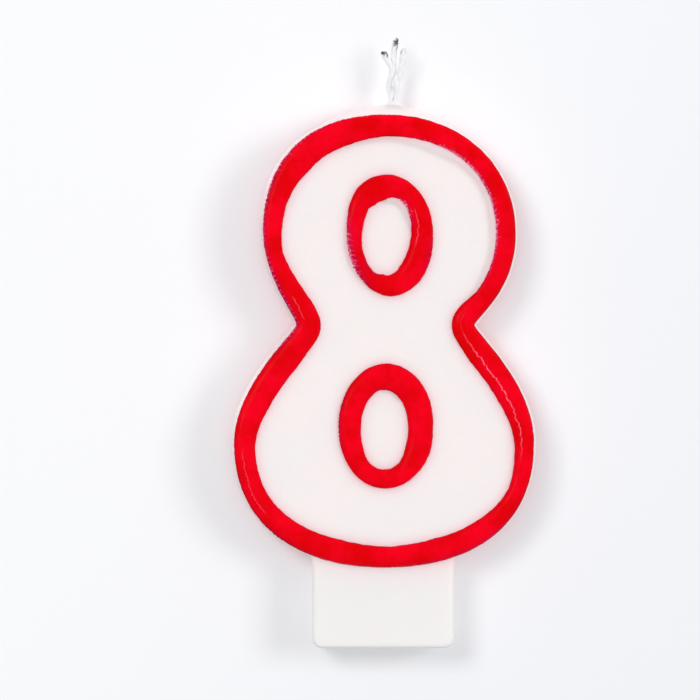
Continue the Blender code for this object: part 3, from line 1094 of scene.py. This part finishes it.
def red_wax():
    """Bright red wax with painted shade along its edges, purplish where rubbed, pale where scraped thin,
    with painted highlight streaks along hair-thin scrapes.
    """
    shader = Shader("red_candle_wax")
    cloud = shader.noise(0.004, 3.0)
    red = shader.mix(shader.ramp(cloud, 0.35, 0.65), (0.76, 0.0006, 0.003), (0.93, 0.0008, 0.013))
    # Painted shade: both edges of the skin darkened
    rim = shader.math("MULTIPLY", shader.attribute("rim"), shader.ramp(shader.noise(0.0006, 3.0), 0.2, 0.45))
    red = shader.mix(rim, red, (0.40, 0.0005, 0.012))
    rubbed = shader.math("MULTIPLY", shader.attribute("rubbed"), 0.8)
    red = shader.mix(rubbed, red, (0.42, 0.0015, 0.075))
    grain = shader.noise(0.00022, 3.0)
    coarse = shader.ramp(grain, 0.35, 0.6)
    strokes = shader.math("MULTIPLY", shader.attribute("strokes"), shader.ramp(grain, 0.3, 0.6, 0.3, 0.85))
    # Painted highlight streaks along the hair-thin scrapes, pale like the thinly brushed strokes
    highlight_line_core = shader.ramp(shader.attribute("highlight_line_gap"), 0.010, 0.030, 1.0, 0.0)
    line = shader.math("MULTIPLY", shader.attribute("line"), shader.ramp(grain, 0.30, 0.50, 0.6, 1.0))
    line = shader.math("MULTIPLY", line, highlight_line_core)
    thin_and_highlight = shader.math("MAXIMUM", strokes, line)
    red = shader.mix(thin_and_highlight, red, (0.93, 0.16, 0.25))
    bare = shader.math("MULTIPLY", shader.attribute("bare"), coarse)
    red = shader.mix(bare, red, (0.94, 0.30, 0.42))
    rough = shader.ramp(shader.noise(0.0010, 4.0), 0.35, 0.7, 0.24, 0.40)
    lumps = shader.noise(0.0011, 3.0)
    shader.bump(shader.math("ADD", lumps, shader.math("MULTIPLY", grain, 0.10)), 0.25, 0.00008)
    shader.set(Base_Color=red, Roughness=rough, IOR=1.45)
    shader.set(Subsurface_Weight=0.10, Subsurface_Scale=0.0004)
    shader.surface.inputs["Subsurface Radius"].default_value = (1.0, 0.1, 0.1)
    shader.set(Specular_IOR_Level=0.02)
    return shader.material


def waxed_cotton():
    """White cotton yarn under a film of wax, darker towards the ends of the strands."""
    shader = Shader("waxed_cotton")
    fibre = shader.noise(0.00012, 3.0, distortion=1.5)
    tone = shader.mix(shader.ramp(fibre, 0.3, 0.7), (0.88, 0.88, 0.89), (0.95, 0.95, 0.96))
    tip_dark = shader.attribute("tip_dark")
    tip_darkening = shader.math("MULTIPLY", tip_dark, shader.ramp(shader.noise(0.0005, 2.0), 0.38, 0.55))
    tone = shader.mix(tip_darkening, tone, (0.045, 0.045, 0.05))
    rough = shader.ramp(fibre, 0.3, 0.7, 0.38, 0.62)
    shader.bump(fibre, 0.5, 0.00004)
    shader.set(Base_Color=tone, Roughness=rough)
    shader.set(Subsurface_Weight=0.15, Subsurface_Scale=0.0002)
    shader.surface.inputs["Subsurface Radius"].default_value = (1.0, 1.0, 1.0)
    shader.set(Sheen_Weight=0.2)
    return shader.material


# ------------------------ stage, light and camera


def build_stage():
    """The pale surface that the candle lies on with its back; part of its light is its own, and a painted
    light falloff darkens it towards the lower right.
    """
    surface_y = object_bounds()[1].y + STAGE_GAP
    mesh = bpy.data.meshes.new("backing")
    signs = ((-1, -1), (1, -1), (1, 1), (-1, 1))
    corners = [(x * STAGE_REACH, surface_y, z * STAGE_REACH) for x, z in signs]
    mesh.from_pydata(corners, [], [(0, 1, 2, 3)])
    backing = bpy.data.objects.new("backing", mesh)
    bpy.context.scene.collection.objects.link(backing)
    backing.visible_diffuse = False
    backing.visible_glossy = False
    backing.visible_transmission = False
    backing.visible_shadow = False
    shader = Shader("pale_paper")
    nodes, links = shader.nodes, shader.links
    place = nodes.new("ShaderNodeSeparateXYZ")
    links.new(shader.coordinates, place.inputs[0])
    # Painted light falloff: paler at the upper left, darker towards the lower right
    painted_falloff = shader.math("ADD", place.outputs["X"], shader.math("MULTIPLY", place.outputs["Z"], -0.35))
    tone = shader.mix(shader.ramp(painted_falloff, -0.060, 0.045), (0.985, 0.99, 1.0), (0.915, 0.925, 0.95))
    matte = shader.mix(STAGE_MATTE, (0.0, 0.0, 0.0), tone)
    shader.set(Base_Color=matte, Roughness=1.0, Specular_IOR_Level=0.0)
    shader.set(Emission_Color=tone, Emission_Strength=STAGE_GLOW)
    clear = nodes.new("ShaderNodeBsdfTransparent")
    choose = nodes.new("ShaderNodeMixShader")
    facing = nodes.new("ShaderNodeNewGeometry")
    links.new(facing.outputs["Backfacing"], choose.inputs["Fac"])
    links.new(shader.surface.outputs[0], choose.inputs[1])
    links.new(clear.outputs[0], choose.inputs[2])
    links.new(choose.outputs[0], nodes["Material Output"].inputs["Surface"])
    mesh.materials.append(shader.material)
    backing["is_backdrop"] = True


def add_lamp(name, place, width, height, power, kinds):
    """A soft box that looks at the candle and lights only the given kinds of reflection."""
    lamp = bpy.data.lights.new(name, "AREA")
    lamp.shape = "RECTANGLE"
    lamp.size = width
    lamp.size_y = height
    lamp.energy = power
    holder = bpy.data.objects.new(name, lamp)
    holder.location = place
    aim = Vector((0.0, 0.0, 0.04)) - holder.location
    holder.rotation_euler = aim.to_track_quat("-Z", "Y").to_euler()
    holder.visible_diffuse = "matte" in kinds
    holder.visible_glossy = "shine" in kinds
    bpy.context.scene.collection.objects.link(holder)


def build_light():
    """An even pale room, soft boxes all round, and a small lamp for the shine."""
    world = bpy.data.worlds.new("studio")
    bpy.context.scene.world = world
    world.use_nodes = True
    room = world.node_tree.nodes["Background"]
    room.inputs["Color"].default_value = (0.975, 0.98, 1.0, 1.0)
    room.inputs["Strength"].default_value = ROOM_LIGHT
    add_lamp("left_box", (-0.7, 0.16, 0.05), 0.20, 0.20, SIDE_BOX_POWER, ("matte",))
    add_lamp("right_box", (0.7, 0.16, 0.05), 0.20, 0.20, SIDE_BOX_POWER, ("matte",))
    add_lamp("top_box", (0.0, 0.16, 0.74), 0.20, 0.20, TOP_BOX_POWER, ("matte",))
    for side, name, share in ((-1, "front", 1.0), (1, "back", BACK_SHARE)):
        high, low = HIGH_BOX_POWER * share, LOW_BOX_POWER * share
        add_lamp(f"{name}_high_box", (-0.28, side * 0.80, 0.25), 0.25, 0.25, high, ("matte",))
        add_lamp(f"{name}_low_box", (0.62, side * 0.80, 0.16), 0.35, 0.35, low, ("matte",))
        add_lamp(f"{name}_glint", (-0.55, side * 0.62, 0.30), 0.14, 0.30, GLINT_POWER, ("shine",))


def build_camera():
    """Looks straight at the front, a little left of the candle's middle."""
    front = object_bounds()[0].y
    camera = bpy.data.cameras.new("camera")
    camera.lens = LENS
    camera.sensor_width = SENSOR_WIDTH
    camera.clip_start = 0.01
    distance = VIEW_WIDTH * MM * LENS / SENSOR_WIDTH
    holder = bpy.data.objects.new("camera", camera)
    holder.location = (VIEW_CENTRE_X * MM, front - distance, VIEW_CENTRE_Z * MM)
    holder.rotation_euler = (math.radians(90), 0, 0)
    bpy.context.scene.collection.objects.link(holder)
    bpy.context.scene.camera = holder
    bpy.context.scene.view_settings.view_transform = "Standard"


# ------------------------ the candle


def build_candle():
    build_body(white_wax())
    red = red_wax()
    for side, face in ((-1, "front"), (1, "back")):
        build_coat(f"{face}_outline_coat", outline_path(COAT_STATIONS), side, red)
        for which in RINGS:
            build_coat(f"{face}_{which}_ring_coat", ring_path(which, RING_COAT_STATIONS), side, red)
    cotton = waxed_cotton()
    for number, (which, tip) in enumerate(STRAND_TIPS.items()):
        build_strand(which, tip, TAU * number / len(STRAND_TIPS), number, cotton)


build_candle()
build_stage()
build_light()
build_camera()
